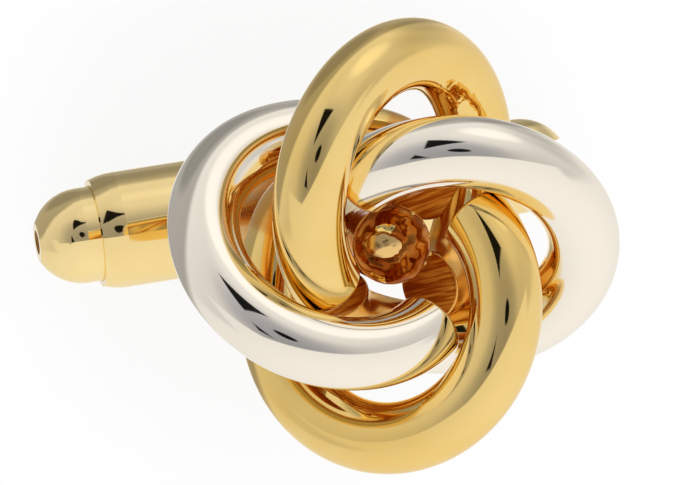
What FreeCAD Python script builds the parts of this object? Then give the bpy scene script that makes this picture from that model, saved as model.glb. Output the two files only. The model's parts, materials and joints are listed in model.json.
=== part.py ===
import FreeCAD, Part
import math
import os

import Sketcher
from FreeCAD import Placement, Rotation, Vector

# A cufflink: four interlaced wire hooks on a post, and a swivel bar that locks it behind the cuff.
# Z is the post's axis with the knot's front up, X runs along the locked bar, and the origin lies on
# the post midway between the knot and the bar, where the cuff sits.

doc = FreeCAD.newDocument("Cufflink")

# Driving dimensions, in millimetres and degrees.
SIZES = {
    # The knot: each hook is a round wire bent in one plane, as a loop, a wider tail and a short curl.
    "wire_diameter": 2.36,
    "loop_radius": 4.25,
    "loop_offset": 2.05,
    "loop_tilt": 39.8,
    "loop_lean": 9.3,
    "back_turn": 70,
    "tail_radius": 5.6,
    "tail_turn": 44.1,
    "curl_radius": 1.85,
    "curl_turn": 65.5,
    "front_turn_gold": 134,
    "front_turn_right": 140,
    "front_turn_left": 131,
    "knot_turn": 9.7,
    "braze_gap": 0.01,
    # The post, with its crowned front end and its flattened blade behind.
    "cuff_gap": 9.8,
    "post_diameter": 2.6,
    "post_crown": 0.55,
    "blade_thickness": 1.3,
    "blade_corner": 0.45,
    "fold_room": 0.45,
    # The swivel bar.
    "sleeve_diameter": 4.04,
    "sleeve_wall": 0.35,
    "sleeve_length": 14.66,
    "shoulder_radius": 2.5,
    "sleeve_rim": 0.2,
    "nose_reach": 2.04,
    "nose_straight": 0.47,
    "nose_tip": 1.37,
    "nose_depth": 2,
    "vent_diameter": 0.85,
    "slot_clearance": 0.15,
    "pin_diameter": 1,
    "pin_play": 0.03,
    "plug_gap": 0.01,
    "spring_thickness": 0.15,
    "spring_width": 1.2,
    "spring_bow": 0.36,
    "spring_gap": 0.02,
    "spring_end_gap": 0.2,
}

sheet = doc.addObject("Spreadsheet::Sheet", "Sizes")
for row, (alias, value) in enumerate(SIZES.items(), start=1):
    sheet.set(f"A{row}", alias)
    sheet.set(f"B{row}", str(value))
    sheet.setAlias(f"B{row}", alias)
doc.recompute()


def size(expression):
    """The number that an expression of the sheet's aliases stands for."""
    return float(sheet.evalExpression(expression))


def bind(item, **expressions):
    """Tie properties of an object to the sheet; a double underscore stands for a dot."""
    for name, expression in expressions.items():
        item.setExpression(name.replace("__", "."), expression)


def new_sketch(body, name, role):
    sketch = body.newObject("Sketcher::SketchObject", name)
    plane = next(item for item in body.Origin.OriginFeatures if item.Role == role)
    sketch.AttachmentSupport = [(plane, "")]
    sketch.MapMode = "FlatFace"
    return sketch


def pin_down(sketch, edge, end, x, y):
    """Fix one end of an edge at the place given by two expressions."""
    for kind, axis, expression in (("DistanceX", -2, x), ("DistanceY", -1, y)):
        if expression == "0":
            sketch.addConstraint(Sketcher.Constraint("PointOnObject", edge, end, axis))
            continue
        rule = Sketcher.Constraint(kind, -1, 1, edge, end, sheet.evalExpression(expression))
        sketch.setExpression(f"Constraints[{sketch.addConstraint(rule)}]", expression)


def outline(sketch, corners):
    """Close a loop of straight runs to (x, y) corners and of arcs to (x, y, radius, turn) corners,
    where a turn of 1 is anticlockwise and -1 clockwise."""
    places = [Vector(size(corner[0]), size(corner[1]), 0) for corner in corners]
    ends = []
    for index, corner in enumerate(corners):
        start = places[index - 1]
        end = places[index]
        if len(corner) == 2:
            edge = sketch.addGeometry(Part.LineSegment(start, end))
            ends.append((edge, 1, 2))
            continue
        radius, turn = size(corner[2]), corner[3]
        chord = end - start
        rise = math.sqrt(max(radius ** 2 - chord.Length ** 2 / 4, 0))
        left = Vector(-chord.y, chord.x, 0).normalize()
        centre = (start + end) / 2 + left * rise * turn
        first, last = (start, end) if turn > 0 else (end, start)
        angles = [math.atan2(place.y - centre.y, place.x - centre.x) for place in (first, last)]
        circle = Part.Circle(centre, Vector(0, 0, 1), radius)
        edge = sketch.addGeometry(Part.ArcOfCircle(circle, *angles))
        rule = sketch.addConstraint(Sketcher.Constraint("Radius", edge, radius))
        sketch.setExpression(f"Constraints[{rule}]", corner[2])
        ends.append((edge, 1, 2) if turn > 0 else (edge, 2, 1))
    for (edge, _, last), (following, first, _), corner in zip(ends, ends[1:] + ends[:1], corners):
        sketch.addConstraint(Sketcher.Constraint("Coincident", edge, last, following, first))
        pin_down(sketch, edge, last, corner[0], corner[1])


def turn_solid(body, sketch, axis_role):
    """Spin a half outline about one of the body's own axes."""
    spin = body.newObject("PartDesign::Revolution", sketch.Name + "_turned")
    spin.Profile = sketch
    axis = next(item for item in body.Origin.OriginFeatures if item.Role == axis_role)
    spin.ReferenceAxis = (axis, [""])
    spin.Angle = 360
    return spin


def cut_through(body, sketch, one_side=False):
    """Cut a sketch through the whole body, both ways or only along the sketch's normal."""
    pocket = body.newObject("PartDesign::Pocket", sketch.Name + "_cut")
    pocket.Profile = sketch
    pocket.Type = "ThroughAll"
    if one_side:
        pocket.Reversed = True
    else:
        pocket.SideType = "Symmetric"
    return pocket


def cross_hole(body, name, diameter):
    """Drill the swivel pin's hole across the body, through its origin."""
    sketch = new_sketch(body, name, "XZ_Plane")
    edge = sketch.addGeometry(Part.Circle(Vector(), Vector(0, 0, 1), size(diameter) / 2))
    sketch.addConstraint(Sketcher.Constraint("Coincident", edge, 3, -1, 1))
    rule = sketch.addConstraint(Sketcher.Constraint("Diameter", edge, size(diameter)))
    sketch.setExpression(f"Constraints[{rule}]", diameter)
    cut_through(body, sketch)


# Lengths that several pieces share.
SWIVEL_HEIGHT = "-(Sizes.cuff_gap + Sizes.sleeve_diameter) / 2"
POST_RADIUS = "Sizes.post_diameter / 2"
SLEEVE_RADIUS = "Sizes.sleeve_diameter / 2"
SLEEVE_END = "Sizes.sleeve_length / 2"
BORE_RADIUS = "(Sizes.sleeve_diameter / 2 - Sizes.sleeve_wall)"
SLOT_HALF = "(Sizes.blade_thickness / 2 + Sizes.slot_clearance)"
FOLD_LENGTH = "(Sizes.sleeve_length / 2 + Sizes.nose_reach + Sizes.fold_room)"

# The spring lies on the far wall of the bore, and the blade reaches from the pin to its crown.
SPRING_SEAT = f"(sqrt({BORE_RADIUS} ^ 2 - (Sizes.spring_width / 2) ^ 2) - Sizes.spring_gap)"
SPRING_CROWN = f"({SPRING_SEAT} - Sizes.spring_thickness - Sizes.spring_bow)"
BLADE_REACH = f"({SPRING_CROWN} - Sizes.spring_gap)"


# Knot. A hook's plane leans forward, and it tilts about the line from the post to the loop, so that
# one side of the loop passes in front of its neighbours and the other side behind them.

lean = math.radians(size("Sizes.loop_lean"))
tilt = math.radians(size("Sizes.loop_tilt"))
outward = Vector(0, math.cos(lean), math.sin(lean))
forward = Vector(-math.cos(tilt), 0, math.sin(tilt))
forward = (forward - outward * forward.dot(outward)).normalize()
loop_plane = Placement(
    Vector(0, size("Sizes.loop_offset"), 0), Rotation(outward, forward, outward.cross(forward), "ZXY")
)
spin_up = Vector(0, 0, 1)


def around(degrees):
    """The direction in a hook's plane at an angle from the loop's outermost point."""
    angle = math.radians(degrees)
    return Vector(math.cos(angle), math.sin(angle), 0)


tail_start = -size("Sizes.back_turn")
tail_end = tail_start - size("Sizes.tail_turn")
curl_end = tail_end - size("Sizes.curl_turn")
tail_centre = around(tail_start) * size("Sizes.loop_radius - Sizes.tail_radius")
curl_centre = tail_centre + around(tail_end) * size("Sizes.tail_radius - Sizes.curl_radius")

# The wire is lowest where the tail's arc runs level, half a wire below its centre line.
fall = math.hypot(outward.z, forward.z) * size("Sizes.tail_radius")
tail_level = loop_plane.multVec(tail_centre).z
knot_height = size("(Sizes.cuff_gap + Sizes.wire_diameter) / 2") + fall - tail_level


def wire_arc(name, radius, sweep, centre, first_angle, thickness="Sizes.wire_diameter / 2"):
    """A bent stretch of wire in a hook's plane, from first_angle anticlockwise."""
    arc = doc.addObject("Part::Torus", name)
    bind(arc, Radius1=radius, Radius2=thickness, Angle3=sweep)
    arc.Placement = Placement(centre, Rotation(spin_up, first_angle))
    return arc


def hook_place(quarter):
    """Where a hook stands, a number of quarter turns clockwise from the top of the knot."""
    turn = Rotation(spin_up, -size("Sizes.knot_turn") - 90 * quarter)
    return Placement(Vector(0, 0, knot_height), turn) * loop_plane


def make_hook(label, quarter, front_turn):
    place = hook_place(quarter)
    loop = wire_arc(
        label + "_loop", "Sizes.loop_radius", f"Sizes.back_turn + {front_turn}", Vector(), tail_start
    )
    tail = wire_arc(label + "_tail", "Sizes.tail_radius", "Sizes.tail_turn", tail_centre, tail_end)
    curl = wire_arc(label + "_curl", "Sizes.curl_radius", "Sizes.curl_turn", curl_centre, curl_end)
    wire = doc.addObject("Part::MultiFuse", label + "_wire")
    wire.Shapes = [loop, tail, curl]

    # The curl is filed hollow where it is brazed to the next hook's tail and to the post.
    saddle = wire_arc(
        label + "_saddle", "Sizes.tail_radius", "Sizes.tail_turn", tail_centre, tail_end,
        "Sizes.wire_diameter / 2 + Sizes.braze_gap",
    )
    saddle.Placement = place.inverse() * hook_place(quarter + 1) * saddle.Placement
    seat = doc.addObject("Part::Cylinder", label + "_seat")
    bind(seat, Radius=POST_RADIUS + " + Sizes.braze_gap", Height="4 * Sizes.loop_radius")
    seat_foot = Vector(0, 0, knot_height - size("2 * Sizes.loop_radius"))
    seat.Placement = place.inverse() * Placement(seat_foot, Rotation())
    hollows = doc.addObject("Part::MultiFuse", label + "_hollows")
    hollows.Shapes = [saddle, seat]

    hook = doc.addObject("Part::Cut", label)
    hook.Base = wire
    hook.Tool = hollows
    hook.Placement = place
    return hook


hooks = [
    make_hook("gold_hook_top", 0, "Sizes.front_turn_gold"),
    make_hook("silver_hook_right", 1, "Sizes.front_turn_right"),
    make_hook("gold_hook_bottom", 2, "Sizes.front_turn_gold"),
    make_hook("silver_hook_left", 3, "Sizes.front_turn_left"),
]


# Post. A turned rod with a crowned end in the middle of the knot. Its other end is milled to a
# blade, which reaches from inside the bar to past the nose of the folded bar, and drilled for the pin.

post = doc.addObject("PartDesign::Body", "post")
post_height = f"({knot_height} - ({SWIVEL_HEIGHT}))"
crown_radius = f"((({POST_RADIUS}) ^ 2 + Sizes.post_crown ^ 2) / (2 * Sizes.post_crown))"
post_outline = new_sketch(post, "post_outline", "XZ_Plane")
outline(post_outline, [
    ("0", f"-{BLADE_REACH}"),
    (POST_RADIUS, f"-{BLADE_REACH}"),
    (POST_RADIUS, post_height),
    ("0", f"{post_height} + Sizes.post_crown", crown_radius, 1),
])
turn_solid(post, post_outline, "Z_Axis")

past_rod = f"({BLADE_REACH} + Sizes.post_diameter)"
for side, name in ((1, "front"), (-1, "rear")):
    flat = new_sketch(post, "blade_" + name, "YZ_Plane")
    near = f"{side} * Sizes.blade_thickness / 2"
    far = f"{side} * {past_rod}"
    outline(flat, [
        (near, f"-{past_rod}"),
        (far, f"-{past_rod}"),
        (far, FOLD_LENGTH),
        (near, FOLD_LENGTH),
    ])
    cut_through(post, flat)
for side, name in ((1, "right"), (-1, "left")):
    edge = new_sketch(post, "blade_" + name, "XZ_Plane")
    near = f"{side} * {BLADE_REACH}"
    far = f"{side} * {past_rod}"
    corner = f"{side} * ({BLADE_REACH} - Sizes.blade_corner)"
    outline(edge, [
        (near, FOLD_LENGTH),
        (far, FOLD_LENGTH),
        (far, f"-{past_rod}"),
        (corner, f"-{past_rod}"),
        (corner, f"-{BLADE_REACH}"),
        (near, f"Sizes.blade_corner - {BLADE_REACH}", "Sizes.blade_corner", side),
    ])
    cut_through(post, edge)
cross_hole(post, "blade_hole", "Sizes.pin_diameter + 2 * Sizes.pin_play")


# Sleeve. A tube whose ends are turned down to a narrow rim by a long round shoulder. A slot in its
# front, from the post to the right end, lets the bar swing in line with the post.

sleeve = doc.addObject("PartDesign::Body", "toggle_sleeve")
sleeve_outline = new_sketch(sleeve, "sleeve_outline", "XZ_Plane")
shoulder_drop = "(Sizes.sleeve_wall - Sizes.sleeve_rim)"
shoulder_run = f"sqrt({shoulder_drop} * (2 * Sizes.shoulder_radius - {shoulder_drop}))"
shoulder = f"({SLEEVE_END} - {shoulder_run})"
rim = f"({BORE_RADIUS} + Sizes.sleeve_rim)"
outline(sleeve_outline, [
    (f"-{SLEEVE_END}", BORE_RADIUS),
    (SLEEVE_END, BORE_RADIUS),
    (SLEEVE_END, rim),
    (shoulder, SLEEVE_RADIUS, "Sizes.shoulder_radius", 1),
    (f"-{shoulder}", SLEEVE_RADIUS),
    (f"-{SLEEVE_END}", rim, "Sizes.shoulder_radius", 1),
])
turn_solid(sleeve, sleeve_outline, "X_Axis")

slot_start = f"-({BLADE_REACH} + 4 * Sizes.slot_clearance - {SLOT_HALF})"
slot = new_sketch(sleeve, "slot", "XY_Plane")
outline(slot, [
    (FOLD_LENGTH, f"-{SLOT_HALF}"),
    (FOLD_LENGTH, SLOT_HALF),
    (slot_start, SLOT_HALF),
    (f"{slot_start} - {SLOT_HALF}", "0", SLOT_HALF, 1),
    (slot_start, f"-{SLOT_HALF}", SLOT_HALF, 1),
])
cut_through(sleeve, slot, one_side=True)
cross_hole(sleeve, "sleeve_hole", "Sizes.pin_diameter + 2 * Sizes.plug_gap")


# Noses. Turned plugs in the sleeve's ends, with a vent through the middle. The right one is slotted
# to its far wall, so that the blade lies in it when the bar is folded in line.


def make_nose(label, side):
    nose = doc.addObject("PartDesign::Body", label)
    plug_radius = f"({BORE_RADIUS} - Sizes.plug_gap)"
    vent_radius = "Sizes.vent_diameter / 2"
    inner_end = f"{side} * ({SLEEVE_END} - Sizes.nose_depth)"
    dome_start = f"{side} * ({SLEEVE_END} + Sizes.nose_straight)"
    tip = f"{side} * ({SLEEVE_END} + Sizes.nose_reach)"
    dome_length = "(Sizes.nose_reach - Sizes.nose_straight)"
    dome_fall = f"({plug_radius} - Sizes.nose_tip / 2)"
    dome_radius = f"(({dome_length} ^ 2 + {dome_fall} ^ 2) / (2 * {dome_fall}))"
    half = new_sketch(nose, label + "_outline", "XZ_Plane")
    outline(half, [
        (inner_end, vent_radius),
        (inner_end, plug_radius),
        (dome_start, plug_radius),
        (tip, "Sizes.nose_tip / 2", dome_radius, -side),
        (tip, vent_radius),
    ])
    turn_solid(nose, half, "X_Axis")
    return nose


nose_left = make_nose("toggle_nose_left", -1)
nose_right = make_nose("toggle_nose_right", 1)
nose_slot = new_sketch(nose_right, "nose_slot", "XY_Plane")
bind(nose_slot, AttachmentOffset__Base__z=f"-({BLADE_REACH} + Sizes.slot_clearance)")
outline(nose_slot, [
    ("Sizes.spring_end_gap", f"-{SLOT_HALF}"),
    (FOLD_LENGTH, f"-{SLOT_HALF}"),
    (FOLD_LENGTH, SLOT_HALF),
    ("Sizes.spring_end_gap", SLOT_HALF),
])
cut_through(nose_right, nose_slot, one_side=True)


# Swivel pin. Riveted in the sleeve and dressed flush with its round outside.

pin_rod = doc.addObject("Part::Cylinder", "pin_rod")
bind(pin_rod, Radius="Sizes.pin_diameter / 2", Height="2 * Sizes.sleeve_diameter")
pin_rod.Placement = Placement(Vector(0, size("Sizes.sleeve_diameter"), 0), Rotation(Vector(1, 0, 0), 90))
pin_limit = doc.addObject("Part::Cylinder", "pin_limit")
bind(pin_limit, Radius=SLEEVE_RADIUS, Height="2 * Sizes.pin_diameter")
pin_limit.Placement = Placement(Vector(-size("Sizes.pin_diameter"), 0, 0), Rotation(Vector(0, 1, 0), 90))
pin = doc.addObject("Part::Common", "pivot_pin")
pin.Base = pin_rod
pin.Tool = pin_limit


# Detent spring. A bowed leaf on the far wall of the bore, between the noses; its crown presses on
# the end of the blade, and it flattens as the blade's corner turns past.

spring = doc.addObject("PartDesign::Body", "detent_spring")
leaf = new_sketch(spring, "leaf_outline", "XZ_Plane")
leaf_end = f"({SLEEVE_END} - Sizes.nose_depth - Sizes.spring_end_gap)"
leaf_foot = f"-{SPRING_SEAT}"
leaf_face = f"(Sizes.spring_thickness - {SPRING_SEAT})"
bow_radius = f"(({leaf_end} ^ 2 + Sizes.spring_bow ^ 2) / (2 * Sizes.spring_bow))"
outline(leaf, [
    (leaf_end, leaf_face),
    (f"-{leaf_end}", leaf_face, bow_radius, 1),
    (f"-{leaf_end}", leaf_foot),
    (leaf_end, leaf_foot, bow_radius, -1),
])
strip = spring.newObject("PartDesign::Pad", "leaf_strip")
strip.Profile = leaf
strip.SideType = "Symmetric"
bind(strip, Length="Sizes.spring_width")

on_swivel = [post, sleeve, nose_left, nose_right, pin, spring]
for piece in on_swivel:
    bind(piece, Placement__Base__z=SWIVEL_HEIGHT)

doc.recompute()

pieces = hooks + on_swivel
for item in doc.Objects:
    if {"Invalid", "Error"} & set(item.State):
        raise RuntimeError(f"{item.Label} failed: {item.State}")
for piece in pieces:
    if piece.Shape.isNull() or not piece.Shape.isValid() or len(piece.Shape.Solids) != 1:
        raise RuntimeError(f"{piece.Label} is not one sound solid")

os.makedirs("parts", exist_ok=True)
for piece in pieces:
    piece.Shape.exportStep(f"parts/{piece.Label}.step")
    print(f"{piece.Label}: {piece.Shape.Volume:.2f} mm3")
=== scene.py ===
import json
import math

import bmesh
import bpy
from mathutils import Matrix, Vector, noise
from mathutils.kdtree import KDTree


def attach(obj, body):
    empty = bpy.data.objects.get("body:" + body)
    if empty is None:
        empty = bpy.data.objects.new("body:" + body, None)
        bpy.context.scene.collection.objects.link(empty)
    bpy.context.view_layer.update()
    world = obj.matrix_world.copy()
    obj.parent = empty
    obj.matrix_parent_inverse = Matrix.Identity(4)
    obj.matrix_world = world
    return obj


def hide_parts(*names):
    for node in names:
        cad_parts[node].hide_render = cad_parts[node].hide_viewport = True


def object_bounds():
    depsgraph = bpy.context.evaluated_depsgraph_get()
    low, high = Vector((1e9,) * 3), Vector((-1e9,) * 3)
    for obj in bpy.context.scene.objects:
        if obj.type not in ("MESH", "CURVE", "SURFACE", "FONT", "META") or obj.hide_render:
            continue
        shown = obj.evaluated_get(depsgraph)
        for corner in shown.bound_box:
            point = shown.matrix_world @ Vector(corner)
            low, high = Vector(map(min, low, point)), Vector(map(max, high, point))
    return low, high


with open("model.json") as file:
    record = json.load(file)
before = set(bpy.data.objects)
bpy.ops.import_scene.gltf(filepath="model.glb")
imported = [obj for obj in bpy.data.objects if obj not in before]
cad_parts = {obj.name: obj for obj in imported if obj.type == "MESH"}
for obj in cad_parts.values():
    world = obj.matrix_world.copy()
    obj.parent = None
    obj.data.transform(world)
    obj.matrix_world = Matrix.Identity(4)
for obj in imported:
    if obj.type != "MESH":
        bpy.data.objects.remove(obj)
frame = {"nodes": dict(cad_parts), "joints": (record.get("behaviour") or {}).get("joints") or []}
cad_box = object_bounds()


# Gold hooks, at the top and the bottom of the knot. Round brass wire, bent in one plane as a loop, a
# wider tail and a short curl, and sawn off square at both ends. Each passes over one silver hook and
# under the other, is brazed to both and to the post, and is polished and gold plated.

MM = 0.001
WIRE_RADIUS = 1.18 * MM
LOOP_RADIUS = 4.25 * MM
LOOP_OFFSET = 2.05 * MM
LOOP_TILT = math.radians(39.8)
LOOP_LEAN = math.radians(9.3)
TAIL_RADIUS = 5.6 * MM
CURL_RADIUS = 1.85 * MM
TAIL_START = math.radians(-70)
TAIL_END = TAIL_START - math.radians(44.1)
CURL_END = TAIL_END - math.radians(65.5)
KNOT_TURN = math.radians(9.7)
KNOT_MIDDLE = Vector((0, 0, 8.984 * MM))
SEAT_RADIUS = 1.31 * MM
BRAZE_GAP = 0.01 * MM
RIM = 0.1 * MM
RIM_STEPS = 4
SIDES = 56
STEP = 0.14 * MM
SLANT_REACH = 1.2 * MM

outward = Vector((0, math.cos(LOOP_LEAN), math.sin(LOOP_LEAN)))
forward = Vector((-math.cos(LOOP_TILT), 0, math.sin(LOOP_TILT)))
forward = (forward - outward * forward.dot(outward)).normalized()
sideways = outward.cross(forward)


def around(angle):
    """The direction in the top hook's plane at an angle from the loop's outermost point."""
    return outward * math.cos(angle) + forward * math.sin(angle)


loop_middle = Vector((0, LOOP_OFFSET, 0))
tail_middle = loop_middle + around(TAIL_START) * (LOOP_RADIUS - TAIL_RADIUS)
curl_middle = tail_middle + around(TAIL_END) * (TAIL_RADIUS - CURL_RADIUS)


def bend(middle, radius, first, last):
    """Stations along one bend of the wire: place, direction away from the bend's middle, run."""
    count = math.ceil(abs(last - first) * radius / STEP)
    stations = []
    for index in range(count + 1):
        angle = first + (last - first) * index / count
        stations.append((middle + around(angle) * radius, around(angle), around(angle - math.pi / 2)))
    return stations


def ramp(value, low, high):
    """How far a value has gone from low to high, as 0 to 1."""
    return min(1, max(0, (value - low) / (high - low)))


def wire_mesh(name, stations, radius, slant=(0, 0)):
    """A solid round wire along stations, with the rims of its sawn ends rounded off. The last end may
    be cut aslant, by so much rise across the wire, away from the bend and sideways."""
    rounding = [math.pi / 2 * step / RIM_STEPS for step in range(RIM_STEPS + 1)]
    inner_shares = (0.7, 0.4)

    def rounded_end(station, inward):
        place, away, run = station
        rings = []
        for turn in rounding:
            back = run * (inward * RIM * (1 - math.sin(turn)))
            rings.append((place + back, away, radius - RIM * (1 - math.cos(turn))))
        return rings + [(place, away, (radius - RIM) * share) for share in inner_shares]

    rings = rounded_end(stations[0], 1)[::-1]
    rings += [(place, away, radius) for place, away, run in stations[1:-1]]
    rings += rounded_end(stations[-1], -1)

    points = []
    last_place, last_run = stations[-1][0], stations[-1][2]
    for place, away, reach in rings:
        bent = ramp((place - last_place).length, SLANT_REACH, 0)
        for side in range(SIDES):
            angle = 2 * math.pi * side / SIDES
            rise = (slant[0] * math.cos(angle) + slant[1] * math.sin(angle)) * reach * bent
            across = away * math.cos(angle) + sideways * math.sin(angle)
            points.append(place + across * reach + last_run * rise)
    faces = []
    for ring in range(len(rings) - 1):
        near, far = ring * SIDES, (ring + 1) * SIDES
        for side in range(SIDES):
            after = (side + 1) % SIDES
            faces.append((near + side, near + after, far + after, far + side))
    for ring, station, flip in ((0, stations[0], -1), (len(rings) - 1, stations[-1], 1)):
        points.append(station[0])
        for side in range(SIDES):
            edge = (ring * SIDES + side, ring * SIDES + (side + 1) % SIDES)
            faces.append((*edge[::flip], len(points) - 1))
    mesh = bpy.data.meshes.new(name)
    mesh.from_pydata(points, [], faces)
    mesh.update()
    return mesh


def add_piece(name, mesh):
    """Put a mesh into the scene."""
    piece = bpy.data.objects.new(name, mesh)
    bpy.context.scene.collection.objects.link(piece)
    return piece


def carve(piece, cutters):
    """Cut other solids out of a piece, and remove them."""
    for cutter in cutters:
        cut = piece.modifiers.new("hollow", "BOOLEAN")
        cut.object = cutter
        cut.solver = "EXACT"
    evaluated = piece.evaluated_get(bpy.context.evaluated_depsgraph_get())
    carved = bpy.data.meshes.new_from_object(evaluated)
    piece.modifiers.clear()
    piece.data = carved
    for cutter in cutters:
        bpy.data.objects.remove(cutter)


def quarter_turn(quarter):
    """Where a hook stands, a number of quarter turns clockwise from the top of the knot."""
    return Matrix.Translation(KNOT_MIDDLE) @ Matrix.Rotation(-KNOT_TURN - quarter * math.pi / 2, 4, "Z")


FLATNESS = 0.3 * RIM
FLAT_RADIUS = WIRE_RADIUS - 0.6 * RIM
BUFFED_SIDE = math.radians(40)
GRIPPED_SIDE = math.radians(130)
GRIP_REACH, GRIP_FULL = math.radians(28), math.radians(12)


def mark_surface(hook, upright, stations, buffing, grip, slant):
    """Write on a hook, from how well each station of its wire was buffed and how hard it was gripped:
    shown_side, from 1 on the buffed outside to -1 inside the loop and on the tail and curl; sawn_end,
    1 on the flat ends; and plier_marks, 1 where the bending pliers dented the wire."""
    tree = KDTree(len(stations))
    for index, station in enumerate(stations):
        tree.insert(station[0], index)
    tree.balance()
    shown = hook.data.attributes.new("shown_side", "FLOAT", "POINT")
    ends = hook.data.attributes.new("sawn_end", "FLOAT", "POINT")
    dents = hook.data.attributes.new("plier_marks", "FLOAT", "POINT")
    sawn_ends = ((stations[0], (0, 0)), (stations[-1], slant))
    for vertex in hook.data.vertices:
        local = upright @ vertex.co
        place, index, _ = tree.find(local)
        offset = local - place
        angle = math.atan2(offset.dot(sideways), offset.dot(stations[index][1]))
        outside = math.cos(angle - BUFFED_SIDE) + 1
        shown.data[vertex.index].value = outside * buffing[index] - 1
        inside = ramp(abs(angle - GRIPPED_SIDE), GRIP_REACH, GRIP_FULL)
        dents.data[vertex.index].value = inside * grip[index]
        for (end, away, run), (lift, side_lift) in sawn_ends:
            from_end = local - end
            up, over = from_end.dot(away), from_end.dot(sideways)
            on_cut = abs(from_end.dot(run) - lift * up - side_lift * over) < FLATNESS
            if on_cut and math.hypot(up, over) < FLAT_RADIUS:
                ends.data[vertex.index].value = 1


SHARP_EDGE = math.radians(35)
BARE_SHARE = 0.4
BUFFED_TAIL, DULL_TAIL = 2 * MM, 4 * MM
# The pliers' grip sets in and lets go between these degrees round the loop.
GRIP_BACK, GRIP_FRONT = (-70, -58), (-15, -25)


def make_hook(node, quarter, front_turn, worn, slant=(0, 0), dented=False):
    """Bend a hook, its front end so many degrees from the loop's outermost point, file its seats for
    the next hook's tail and for the post, and mark its surface, which is worn for a short way from the
    front end and may be dented by pliers inside the loop's back."""
    loop = bend(loop_middle, LOOP_RADIUS, math.radians(front_turn), TAIL_START)
    tail = bend(tail_middle, TAIL_RADIUS, TAIL_START, TAIL_END)
    curl = bend(curl_middle, CURL_RADIUS, TAIL_END, CURL_END)
    stations = loop + tail[1:] + curl[1:]
    mesh = wire_mesh(node, stations, WIRE_RADIUS, slant)
    mesh.transform(quarter_turn(quarter))
    hook = add_piece(node + "_wire", mesh)

    saddle = wire_mesh("saddle", tail, WIRE_RADIUS + BRAZE_GAP)
    saddle.transform(quarter_turn(quarter + 1))
    seat = bmesh.new()
    bmesh.ops.create_cone(
        seat, cap_ends=True, segments=SIDES, radius1=SEAT_RADIUS, radius2=SEAT_RADIUS,
        depth=4 * LOOP_RADIUS, matrix=Matrix.Translation(KNOT_MIDDLE),
    )
    seat_mesh = bpy.data.meshes.new("seat")
    seat.to_mesh(seat_mesh)
    seat.free()
    carve(hook, [add_piece("saddle", saddle), add_piece("seat", seat_mesh)])

    buffing, grip = [], []
    for index in range(len(stations)):
        off_front = ramp(index * STEP, BARE_SHARE * worn, worn)
        on_tail = ramp((index - len(loop)) * STEP, BUFFED_TAIL, DULL_TAIL)
        buffing.append(off_front * (1 - on_tail))
        turned = front_turn + (math.degrees(TAIL_START) - front_turn) * index / (len(loop) - 1)
        gripped = ramp(turned, *GRIP_BACK) * ramp(turned, *GRIP_FRONT)
        grip.append(gripped if dented else 0)
    mark_surface(hook, quarter_turn(quarter).inverted(), stations, buffing, grip, slant)
    hook.data.polygons.foreach_set("use_smooth", [True] * len(hook.data.polygons))
    hook.data.set_sharp_from_angle(angle=SHARP_EDGE)
    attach(hook, "head")
    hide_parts(node)
    return hook


class Shade:
    """An output of one of a material's nodes, with arithmetic that adds Math nodes."""

    def __init__(self, tree, socket=None):
        self.tree = tree
        self.socket = socket

    def node(self, kind, settings=(), inputs=(), output=0):
        """Add a node: its settings first, then the values or links of its sockets."""
        made = self.tree.nodes.new(kind)
        for name, value in dict(settings).items():
            setattr(made, name, value)
        for name, value in dict(inputs).items():
            if isinstance(value, Shade):
                self.tree.links.new(value.socket, made.inputs[name])
            else:
                made.inputs[name].default_value = value
        return Shade(self.tree, made.outputs[output])

    def math(self, operation, first, second=0.0):
        return self.node("ShaderNodeMath", {"operation": operation}, {0: first, 1: second})

    def __add__(self, other):
        return self.math("ADD", self, other)

    def __radd__(self, other):
        return self.math("ADD", other, self)

    def __sub__(self, other):
        return self.math("SUBTRACT", self, other)

    def __rsub__(self, other):
        return self.math("SUBTRACT", other, self)

    def __mul__(self, other):
        return self.math("MULTIPLY", self, other)

    def __rmul__(self, other):
        return self.math("MULTIPLY", other, self)

    def __truediv__(self, other):
        return self.math("DIVIDE", self, other)

    def at_least(self, floor):
        return self.math("MAXIMUM", self, floor)

    def smooth(self, low, high):
        """Rise from 0 at low to 1 at high."""
        settings = {"interpolation_type": "SMOOTHSTEP"}
        inputs = {"Value": self, "From Min": low, "From Max": high}
        return self.node("ShaderNodeMapRange", settings, inputs)

    def blend(self, first, second):
        """A colour that goes from first to second as this value goes from 0 to 1."""
        settings = {"data_type": "RGBA"}
        return self.node("ShaderNodeMix", settings, {"Factor": self, 6: first, 7: second}, 2)


def new_finish(name):
    """An empty material, its nodes and its surface output."""
    material = bpy.data.materials.new(name)
    material.use_nodes = True
    material.node_tree.nodes.clear()
    nodes = Shade(material.node_tree)
    output = material.node_tree.nodes.new("ShaderNodeOutputMaterial")
    return material, nodes, output.inputs["Surface"]


GOLD = (0.95, 0.71, 0.285, 1)
DEEP_GOLD = (0.93, 0.66, 0.225, 1)
UNBUFFED_GOLD = (0.80, 0.41, 0.10, 1)
SAW_GROOVE = (0.47, 0.11, 0.006, 1)
SAW_RIDGE = (0.86, 0.38, 0.05, 1)
SAW_TURN = math.radians(102)


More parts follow.
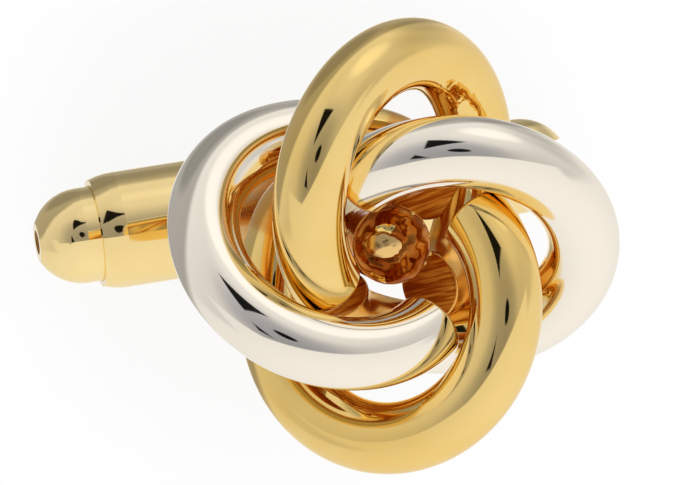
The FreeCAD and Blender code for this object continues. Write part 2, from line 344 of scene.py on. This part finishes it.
def wire_finish(name, front_plate=None):
    """Mirror-polished gold plate, redder and duller where the buff did not reach, with saw marks on
    the flat ends, dents from the pliers, and another plate on the buffed outside if there is one."""
    material, nodes, surface = new_finish(name)
    place = nodes.node("ShaderNodeTexCoord", output="Object")
    shown = nodes.node("ShaderNodeAttribute", {"attribute_name": "shown_side"}, output="Fac")
    sawn = nodes.node("ShaderNodeAttribute", {"attribute_name": "sawn_end"}, output="Fac")
    sawn = sawn.smooth(0.3, 0.7)
    cloud = nodes.node("ShaderNodeTexNoise", (), {"Vector": place, "Scale": 260, "Detail": 3})
    waves = nodes.node("ShaderNodeTexNoise", (), {"Vector": place, "Scale": 420, "Detail": 1})
    grain = nodes.node("ShaderNodeTexNoise", (), {"Vector": place, "Scale": 9000, "Detail": 2})
    gripped = nodes.node("ShaderNodeAttribute", {"attribute_name": "plier_marks"}, output="Fac")
    dents = nodes.node("ShaderNodeTexNoise", (), {"Vector": place, "Scale": 2600, "Detail": 1})
    buffed = (shown + (cloud - 0.5) * 0.3).smooth(-1.05, -0.8)
    plate = buffed.blend(UNBUFFED_GOLD, cloud.smooth(0.35, 0.65).blend(DEEP_GOLD, GOLD))
    if front_plate:
        edge = (shown + (cloud - 0.5) * 0.1).smooth(-0.12, 0.1)
        plate = edge.blend(plate, front_plate)
    across_saw = nodes.node("ShaderNodeMapping", {"vector_type": "TEXTURE"}, {
        "Vector": place, "Rotation": (0, 0, SAW_TURN), "Scale": (1, 14, 14),
    })
    strokes = nodes.node("ShaderNodeTexNoise", (), {"Vector": across_saw, "Scale": 11000, "Detail": 2})
    saw_colour = strokes.smooth(0.4, 0.66).blend(SAW_GROOVE, SAW_RIDGE)
    height = waves * 0.3 + grain * (0.02 - 0.016 * buffed) + sawn * strokes * 2 + gripped * dents * 6
    bump = nodes.node("ShaderNodeBump", (), {
        "Strength": 0.5, "Distance": 0.008 * MM, "Height": height,
    })
    shader = nodes.node("ShaderNodeBsdfPrincipled", (), {
        "Base Color": sawn.blend(plate, saw_colour),
        "Metallic": 1.0,
        "Roughness": 0.24 - 0.2 * buffed + grain * 0.03 + sawn * 0.2,
        "Normal": bump,
    })
    nodes.tree.links.new(shader.socket, surface)
    return material


gold_wire = wire_finish("gold_plated_wire")
for node, quarter, dented in (("gold_hook_top", 0, True), ("gold_hook_bottom", 2, False)):
    hook = make_hook(node, quarter, front_turn=134, worn=0.1 * MM, dented=dented)
    hook.data.materials.append(gold_wire)


# Silver hooks, at the right and the left of the knot. The same bent brass wire, gold plated all over
# and then plated with a white metal on the buffed outside, so that the inside of the loop stays gold.
# The left one's curl is sawn off aslant.

SILVER = (0.98, 0.93, 0.845, 1)
silver_wire = wire_finish("silver_fronted_wire", SILVER)
silver_hooks = [
    make_hook("silver_hook_right", 1, front_turn=140, worn=0.5 * MM),
    make_hook("silver_hook_left", 3, front_turn=131, worn=0.1 * MM, slant=(0.19, -0.42)),
]
for hook in silver_hooks:
    hook.data.materials.append(silver_wire)


# Post. A turned brass rod, gold plated, with a blade milled on its back end for the swivel. Its
# crowned front end stands in the middle of the knot, browned and left unbuffed after brazing, apart
# from a bare gold facet to the left of its middle.


def dress(node, material):
    """Give a solid that stays as it is a finish of its own."""
    frame["nodes"][node].data.materials.clear()
    frame["nodes"][node].data.materials.append(material)


BROWNED = (0.52, 0.19, 0.035, 1)
CROWN_GOLD = (0.95, 0.63, 0.25, 1)
BROWN_START, BROWN_FULL = 6.0 * MM, 8.8 * MM
FACET_STRETCH = (0.7, 1, 0)
FACET_SHIFT = (0.25 * MM, -0.061 * MM, 0)
FACET_EDGE, BROWN_EDGE = 0.42 * MM, 0.72 * MM
EDGE_WANDER = 0.9 * MM
post_finish, nodes, surface = new_finish("gold_plated_post")
place = nodes.node("ShaderNodeTexCoord", output="Object")
height_up = nodes.node("ShaderNodeSeparateXYZ", (), {"Vector": place}, "Z")
crown = height_up.smooth(BROWN_START, BROWN_FULL)
dents = nodes.node("ShaderNodeTexNoise", (), {"Vector": place, "Scale": 1500, "Detail": 2})
from_facet = nodes.node("ShaderNodeVectorMath", {"operation": "MULTIPLY_ADD"}, {
    0: place, 1: FACET_STRETCH, 2: FACET_SHIFT,
})
from_facet = nodes.node("ShaderNodeVectorMath", {"operation": "LENGTH"}, {0: from_facet}, "Value")
turned = nodes.node("ShaderNodeMapping", (), {"Vector": place, "Scale": (0.03, 0.03, 1)})
marks = nodes.node("ShaderNodeTexNoise", (), {"Vector": turned, "Scale": 8000, "Detail": 3})
off_facet = (from_facet + (dents - 0.5) * EDGE_WANDER).smooth(FACET_EDGE, BROWN_EDGE)
browning_and_shade = off_facet.blend(CROWN_GOLD, BROWNED)
relief = dents * crown * 2 + marks * (0.06 - 0.04 * crown)
shader = nodes.node("ShaderNodeBsdfPrincipled", (), {
    "Base Color": crown.blend(marks.smooth(0.3, 0.7).blend(GOLD, DEEP_GOLD), browning_and_shade),
    "Metallic": 1.0,
    "Roughness": 0.06 + marks * 0.05 + crown * 0.08,
    "Normal": nodes.node("ShaderNodeBump", (), {
        "Strength": 0.7, "Distance": 0.04 * MM, "Height": relief,
    }),
})
nodes.tree.links.new(shader.socket, surface)
dress("post", post_finish)


# Braze. A lumpy ring of brazing metal that ran over the post's crown towards the four curls and left
# the facet bare, browned by the torch and gold plated with the rest. Two streaks on it are painted
# highlights in polished gold, and a few drops stand on its right. Its sizes are in millimetres until
# its points are placed.

RING_STEPS, RING_SIDES = 160, 32
RING_REACH = 1.25
RING_THICKNESS = 0.17
CROWN_TOP, CROWN_BEND = 9.534, 1.811
FACET = Vector((-0.36, 0, 0))
FACET_LENGTH, FACET_WIDTH = 0.57, 0.38
SWELL_PLACE, RIPPLE_PLACE = Vector((0.3, 1.7, 4.1)), Vector((5.3, 0.4, 2.2))
LUMP_PLACE = Vector((2.6, 0.9, 5.2))
turned_knot = Matrix.Rotation(-KNOT_TURN, 3, "Z")
collar = bmesh.new()
rings = []
for step in range(RING_STEPS):
    angle = 2 * math.pi * step / RING_STEPS
    direction = Vector((math.cos(angle), math.sin(angle), 0))
    swell = noise.noise(direction * 1.7 + SWELL_PLACE)
    ripple = noise.noise(direction * 2.9 + RIPPLE_PLACE)
    facet_edge = Vector((FACET_LENGTH * direction.x, FACET_WIDTH * direction.y, 0))
    inner = FACET + facet_edge * (1 + 0.12 * ripple)
    outer = direction * (RING_REACH + 0.06 * swell)
    thickness = RING_THICKNESS * (outer - inner).length
    ring = []
    for side in range(RING_SIDES):
        turn = 2 * math.pi * side / RING_SIDES
        high, wide = math.cos(turn), math.sin(turn)
        flat = inner.lerp(outer, 0.5 + 0.5 * wide)
        height = math.sqrt(CROWN_BEND ** 2 - flat.length_squared)
        off_crown = Vector((flat.x, flat.y, height)) / CROWN_BEND
        lump = noise.noise(flat * 1.7 + off_crown * high + LUMP_PLACE)
        dimple = noise.noise(flat * 5.1 + off_crown * (2 * high))
        rise = thickness * high * (1 + 0.3 * swell + 0.7 * lump + 0.12 * dimple)
        spot = off_crown * (CROWN_BEND + rise) + Vector((0, 0, CROWN_TOP - CROWN_BEND))
        ring.append(collar.verts.new(turned_knot @ spot * MM))
    rings.append(ring)

# Each painted highlight is a streak between two angles in degrees and two of the ring's sides.
PAINTED_HIGHLIGHTS = ((72, 116, 26, 29), (236, 262, 2, 4))
for step, (ring, following) in enumerate(zip(rings, rings[1:] + rings[:1])):
    for side in range(RING_SIDES):
        after = (side + 1) % RING_SIDES
        face = collar.faces.new((ring[side], ring[after], following[after], following[side]))
        face.smooth = True
        # Faces in a painted highlight take the polished gold of the wires.
        for first, last, first_side, last_side in PAINTED_HIGHLIGHTS:
            if first <= 360 * step / RING_STEPS <= last and first_side <= side <= last_side:
                face.material_index = 1

# Each drop has an angle in degrees and a radius, and stands on the same side of the ring.
DROPS = ((59, 0.08), (37, 0.05), (16, 0.05), (-11, 0.08), (-27, 0.06))
DROP_SIDE = 5
drops = []
for angle, radius in DROPS:
    carrier = rings[round(angle / 360 * RING_STEPS)][DROP_SIDE]
    drops.append((carrier.co.copy(), radius * MM))
for spot, radius in drops:
    drop = bmesh.ops.create_icosphere(
        collar, subdivisions=3, radius=radius, matrix=Matrix.Translation(spot),
    )
    for face in {face for vertex in drop["verts"] for face in vertex.link_faces}:
        face.material_index = 1
        face.smooth = True
bmesh.ops.recalc_face_normals(collar, faces=collar.faces)
collar_mesh = bpy.data.meshes.new("braze_collar")
collar.to_mesh(collar_mesh)
collar.free()
braze_collar = add_piece("braze_collar", collar_mesh)

BRAZE_DARK, BRAZE_PALE = (0.32, 0.07, 0.008, 1), (0.58, 0.22, 0.04, 1)
braze_finish, nodes, surface = new_finish("gold_plated_braze")
place = nodes.node("ShaderNodeTexCoord", output="Object")
beads = nodes.node("ShaderNodeTexNoise", (), {"Vector": place, "Scale": 1300, "Detail": 2})
shader = nodes.node("ShaderNodeBsdfPrincipled", (), {
    "Base Color": beads.smooth(0.4, 0.7).blend(BRAZE_DARK, BRAZE_PALE),
    "Metallic": 1.0,
    "Roughness": 0.08 + beads * 0.14,
    "Normal": nodes.node("ShaderNodeBump", (), {
        "Strength": 0.3, "Distance": 0.03 * MM, "Height": beads,
    }),
})
nodes.tree.links.new(shader.socket, surface)
collar_mesh.materials.append(braze_finish)
collar_mesh.materials.append(gold_wire)
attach(braze_collar, "head")


# Sleeve and noses of the swivel bar. A brass tube with turned-down ends and two turned plugs pressed
# into it, polished and gold plated together, so the last marks run round the bar. The bore and the slot
# are dull, and the front of the bar round the post, under the knot, carries a brown painted shade.

# Painted light: a paler, brighter copy of the hooks' gold, for the stronger light that falls on the
# bar.
LIT_BAR_GOLD, LIT_BAR_PALE = (0.97, 0.76, 0.36, 1), (1, 0.80, 0.40, 1)
# Brown painted shade for the front of the bar under the knot.
BAR_PAINTED_SHADE = (0.42, 0.13, 0.02, 1)
BORE_DARK, BORE_PALE = (0.55, 0.30, 0.09, 1), (0.7, 0.42, 0.14, 1)
swivel_place = frame["joints"][0]["pos_m"]
bar_finish, nodes, surface = new_finish("gold_plated_bar")
place = nodes.node("ShaderNodeTexCoord", output="Object")
cloud = nodes.node("ShaderNodeTexNoise", (), {"Vector": place, "Scale": 220, "Detail": 3})
waves = nodes.node("ShaderNodeTexNoise", (), {"Vector": place, "Scale": 400, "Detail": 1})
round_bar = nodes.node("ShaderNodeMapping", (), {"Vector": place, "Scale": (1, 0.02, 0.02)})
marks = nodes.node("ShaderNodeTexNoise", (), {"Vector": round_bar, "Scale": 9000, "Detail": 3})
outwards = nodes.node("ShaderNodeVectorMath", {"operation": "SUBTRACT"}, {0: place, 1: swivel_place})
outwards = nodes.node("ShaderNodeVectorMath", {"operation": "MULTIPLY"}, {0: outwards, 1: (0, 1, 1)})
facing_out = nodes.node("ShaderNodeVectorMath", {"operation": "DOT_PRODUCT"}, {
    0: outwards, 1: nodes.node("ShaderNodeTexCoord", output="Normal"),
}, "Value")
hollow = 1 - facing_out.smooth(-0.4 * MM, -0.1 * MM)
dull = marks.smooth(0.3, 0.7).blend(BORE_DARK, BORE_PALE)
# The bar's plate in the brighter, painted-light gold.
plate = cloud.smooth(0.35, 0.65).blend(LIT_BAR_GOLD, LIT_BAR_PALE)
from_post = nodes.node("ShaderNodeVectorMath", {"operation": "MULTIPLY"}, {0: place, 1: (1, 1.3, 0)})
from_post = nodes.node("ShaderNodeVectorMath", {"operation": "LENGTH"}, {0: from_post}, "Value")
forwards = nodes.node("ShaderNodeSeparateXYZ", (), {"Vector": outwards}, "Z")
# Painted shade: the front of the bar round the post, where it lies under the knot, turns brown and
# rougher.
off_post = (from_post + cloud * MM).smooth(2.2 * MM, 4.4 * MM)
browning_and_shade = forwards.smooth(0.3 * MM, 1.5 * MM) * (1 - off_post)
plate = browning_and_shade.blend(plate, BAR_PAINTED_SHADE)
shader = nodes.node("ShaderNodeBsdfPrincipled", (), {
    "Base Color": hollow.blend(plate, dull),
    "Metallic": 1 - 0.45 * hollow,
    "Roughness": 0.035 + marks * 0.04 + browning_and_shade * 0.15 + hollow * 0.4,
    "Normal": nodes.node("ShaderNodeBump", (), {
        "Strength": 0.5, "Distance": 0.008 * MM, "Height": waves * 0.3 + marks * 0.02,
    }),
})
nodes.tree.links.new(shader.socket, surface)
for node in ("toggle_sleeve", "toggle_nose_left", "toggle_nose_right"):
    dress(node, bar_finish)


# Swivel pin and detent spring. The pin is drawn brass wire, dressed flush with the sleeve and gold
# plated with it, and the spring is a strip of rolled and tempered steel in the bore.


def drawn_metal(name, colour, shade, roughness, stretch):
    """Metal with fine marks along its length."""
    material, nodes, surface = new_finish(name)
    place = nodes.node("ShaderNodeTexCoord", output="Object")
    stretched = nodes.node("ShaderNodeMapping", (), {"Vector": place, "Scale": stretch})
    marks = nodes.node("ShaderNodeTexNoise", (), {"Vector": stretched, "Scale": 6000, "Detail": 4})
    shader = nodes.node("ShaderNodeBsdfPrincipled", (), {
        "Base Color": marks.smooth(0.3, 0.7).blend(colour, shade),
        "Metallic": 1.0,
        "Roughness": roughness + marks * 0.12,
        "Normal": nodes.node("ShaderNodeBump", (), {
            "Strength": 0.3, "Distance": 0.004 * MM, "Height": marks,
        }),
    })
    nodes.tree.links.new(shader.socket, surface)
    return material


GOLD_SHADE = (0.82, 0.56, 0.2, 1)
STEEL, STEEL_SHADE = (0.56, 0.57, 0.58, 1), (0.44, 0.44, 0.45, 1)
ALONG_Y, ALONG_X = (1, 0.1, 1), (0.1, 1, 1)
dress("pivot_pin", drawn_metal("gold_plated_pin", GOLD, GOLD_SHADE, 0.12, ALONG_Y))
dress("detent_spring", drawn_metal("tempered_strip", STEEL, STEEL_SHADE, 0.22, ALONG_X))


# Camera. It looks at the front of the knot through a long lens, a little from the left and from above.

camera_data = bpy.data.cameras.new("camera")
camera_data.sensor_width = 36
camera_data.lens = 369.3
camera_data.clip_start = 0.01
camera_data.clip_end = 10
camera = bpy.data.objects.new("camera", camera_data)
bpy.context.scene.collection.objects.link(camera)
yaw, pitch, roll = math.radians(11.071), math.radians(5.277), math.radians(-1.757)
facing = Matrix.Rotation(roll, 3, "Z") @ Matrix.Rotation(pitch, 3, "X") @ Matrix.Rotation(yaw, 3, "Y")
facing = turned_knot @ facing.transposed()
knot_from_camera = Vector((1.434, -0.0743, -231.644))
stand = KNOT_MIDDLE - facing @ knot_from_camera * MM
camera.matrix_world = Matrix.Translation(stand) @ facing.to_4x4()
bpy.context.scene.camera = camera
bpy.context.scene.view_settings.view_transform = "Standard"


# Tent. White cloth all round, grey towards its open front, where a flap, a gusset and the lens show
# dark; a bright table below, shaded corners high at the back and on the right, and one lamp on top.
# The backdrop behind the object is pure white to the camera, and where the metal mirrors it.

TABLE_LIGHT, WALL_LIGHT, LAMP_LIGHT = 0.82, 0.69, 0.22
WARM_CLOTH, COOL_OPENING = (1, 0.97, 0.92, 1), (0.96, 0.95, 1, 1)
WHITE = (1, 1, 1, 1)
GRAZING = 0.05
LENS_MIDDLE, LENS_SIZE = (0.055, 0.06), (0.11, 0.09)
right_hand, overhead, towards = (facing.col[axis].copy() for axis in range(3))
world = bpy.data.worlds.new("tent")
world.use_nodes = True
world.node_tree.nodes.clear()
bpy.context.scene.world = world
sky = Shade(world.node_tree)
ray = sky.node("ShaderNodeTexCoord", output="Generated")


def along(direction):
    """How far the ray runs along a direction."""
    settings = {"operation": "DOT_PRODUCT"}
    return sky.node("ShaderNodeVectorMath", settings, {0: ray, 1: tuple(direction)}, "Value")


def patch(right, up, outer, inner):
    """A soft round patch, at degrees to the right of the camera and above it."""
    right, up = math.radians(right), math.radians(up)
    flat = right_hand * math.sin(right) + towards * math.cos(right)
    return along(flat * math.cos(up) + overhead * math.sin(up)).smooth(outer, inner)


side, rise, front = along(right_hand), along(overhead), along(towards)
across = side / front.at_least(GRAZING)
upward = rise / front.at_least(GRAZING)


def panel(corners):
    """A flat dark shape in the front opening, with its corners anticlockwise."""
    inside = None
    for (x0, y0), (x1, y1) in zip(corners, corners[1:] + corners[:1]):
        length = math.hypot(x1 - x0, y1 - y0)
        edge = (upward - y0) * ((x1 - x0) / length) - (across - x0) * ((y1 - y0) / length)
        inside = edge if inside is None else sky.math("MINIMUM", inside, edge)
    return inside.smooth(-0.01, 0.01)


flap = panel([(-0.364, 0.862), (-0.306, 0.241), (0.158, 0.585)])
gusset = panel([(-0.364, -0.019), (-0.384, -0.228), (-0.194, -0.273)])
lens_across = (across - LENS_MIDDLE[0]) / LENS_SIZE[0]
lens_up = (upward - LENS_MIDDLE[1]) / LENS_SIZE[1]
lens = 1 - (lens_across * lens_across + lens_up * lens_up).smooth(0.85, 1.15)
dark_shapes = flap.at_least(gusset).at_least(lens) * front.smooth(GRAZING, 0.12)

right_edge = 0.36 * across - 0.29
left_edge = -0.5 - 0.1 * across
sharp_edge = (upward - right_edge.at_least(left_edge)).smooth(-0.02, 0.02)
soft_edge = (rise - 0.34 * side + 0.402 * front + 0.157).smooth(-0.12, 0.12)
above = soft_edge + (sharp_edge - soft_edge) * front.smooth(0.25, 0.45)
table = TABLE_LIGHT + 0.06 * side - 0.1 * rise
opening = patch(-5.8, -0.3, 0.65, 1.0)
wall = WALL_LIGHT - 0.065 * side + 0.143 * rise - 0.112 * front - 0.22 * opening
wall = wall + 0.105 * patch(30, 46, 0.833, 1.0) - 0.31 * patch(109, 43, 0.882, 1.082)
level = table + (wall - table) * above
for shaded, share in (
    (patch(-138, 33, 0.56, 0.70), 0.5),
    (patch(-141, 51, 0.882, 0.962), 0.337),
    (patch(148, 47, 0.906, 1.026), 0.416),
    (dark_shapes, 0.98),
):
    level = level * (1 - share * shaded)
level = level + LAMP_LIGHT * patch(49, 62, 0.93, 0.99)
tint = (opening * above).blend(WARM_CLOTH, COOL_OPENING)
cloth = sky.node("ShaderNodeBackground", (), {"Color": tint, "Strength": level})
paper = sky.node("ShaderNodeBackground", (), {"Color": WHITE, "Strength": 1.0})
seen = sky.node("ShaderNodeLightPath", output="Is Camera Ray")
glossy = sky.node("ShaderNodeLightPath", output="Is Glossy Ray")
clear = sky.node("ShaderNodeLightPath", output="Is Transmission Ray")
backdrop = patch(180, 0, 0.9, 0.98)
shown_white = seen.at_least(glossy.at_least(clear) * backdrop)
mixed = sky.node("ShaderNodeMixShader", (), {0: shown_white, 1: cloth, 2: paper})
world_output = world.node_tree.nodes.new("ShaderNodeOutputWorld")
world.node_tree.links.new(mixed.socket, world_output.inputs["Surface"])


# Floor. A thin white sheet under the bar, which takes a soft shadow and lets the white of the tent, and
# the end of the bar when it is folded down, show through.

SHEET_RADIUS = 24 * MM
SHADE_RADIUS, CLEAR_RADIUS = 6 * MM, 13 * MM
CLEAR_SHARE = 0.9
PAPER_SHADE, PAPER_WHITE = (0.95, 0.95, 0.945, 1), (0.97, 0.97, 0.965, 1)
sheet_cells = bmesh.new()
bmesh.ops.create_circle(sheet_cells, cap_ends=True, segments=96, radius=SHEET_RADIUS)
sheet_mesh = bpy.data.meshes.new("paper_sheet")
sheet_cells.to_mesh(sheet_mesh)
sheet_cells.free()
paper_sheet = add_piece("paper_sheet", sheet_mesh)
paper_sheet.location = (0, 0, cad_box[0].z)

paper_finish, nodes, surface = new_finish("white_paper")
place = nodes.node("ShaderNodeTexCoord", output="Object")
fibres = nodes.node("ShaderNodeTexNoise", (), {"Vector": place, "Scale": 1500, "Detail": 4})
reach = nodes.node("ShaderNodeVectorMath", {"operation": "LENGTH"}, {0: place}, "Value")
lit = nodes.node("ShaderNodeBsdfDiffuse", (), {
    "Color": fibres.smooth(0.3, 0.7).blend(PAPER_SHADE, PAPER_WHITE),
})
looked_at = nodes.node("ShaderNodeLightPath", output="Is Camera Ray")
mirrored = nodes.node("ShaderNodeLightPath", output="Is Glossy Ray")
share = CLEAR_SHARE + (1 - CLEAR_SHARE) * reach.smooth(SHADE_RADIUS, CLEAR_RADIUS)
see_through = nodes.node("ShaderNodeBsdfTransparent")
sheet_shader = nodes.node("ShaderNodeMixShader", (), {
    0: mirrored.at_least(looked_at * share), 1: lit, 2: see_through,
})
nodes.tree.links.new(sheet_shader.socket, surface)
sheet_mesh.materials.append(paper_finish)
